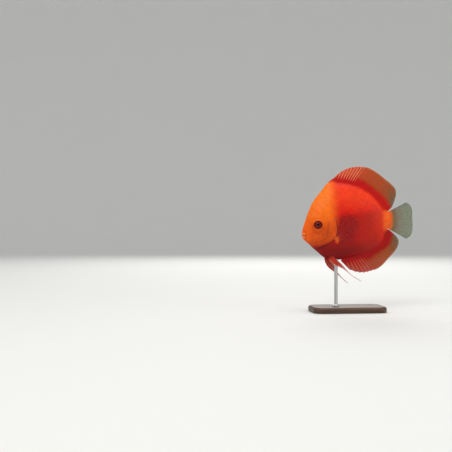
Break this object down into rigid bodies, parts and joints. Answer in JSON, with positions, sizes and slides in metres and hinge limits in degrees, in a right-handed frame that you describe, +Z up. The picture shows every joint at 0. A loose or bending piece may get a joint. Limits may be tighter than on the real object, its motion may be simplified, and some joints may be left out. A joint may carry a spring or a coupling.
{
  "type": "discus fish",
  "caption": "Life-size red discus fish with a disc-shaped body, long dorsal and anal fins, clear tail and pectorals and trailing pelvic fins, held by a rod on a flat display base.",
  "frame": {"origin": "on the floor under the middle of the whole length, in the fish's plane of symmetry", "axes": "+X towards the tail, +Y towards the fish's right side, +Z up; the fish faces -X with its left side towards -Y"},
  "size_m": [0.16, 0.058, 0.2038],
  "materials": {
    "head_skin": "satin wet skin, yellow-orange on the forehead to orange at the cheek",
    "body_skin": "satin wet skin, small scales, strong red, darker on the belly",
    "tail_skin": "satin wet skin, orange",
    "fin_web": "red scaled base, then a thin rayed web in translucent orange-brown",
    "clear_web": "thin clear web with fine pale rays",
    "pelvic_web": "red rays with a pinkish edge",
    "eye": "glossy, dark red iris and dark pupil under a clear cornea",
    "stand_wood": "dark stained wood, satin varnish",
    "stand_metal": "brushed steel rod"
  },
  "bodies": {
    "root": {"head": "head_skin", "gill_cover_left": "head_skin", "gill_cover_right": "head_skin", "trunk": "body_skin", "tail_stem": "tail_skin", "dorsal_fin": "fin_web", "anal_fin": "fin_web", "caudal_fin": "clear_web", "pectoral_fin_left": "clear_web", "pectoral_fin_right": "clear_web", "pelvic_fin_left": "pelvic_web", "pelvic_fin_right": "pelvic_web", "eye_left": "eye", "eye_right": "eye", "stand_base": "stand_wood", "stand_rod": "stand_metal"}
  },
  "joints": []
}
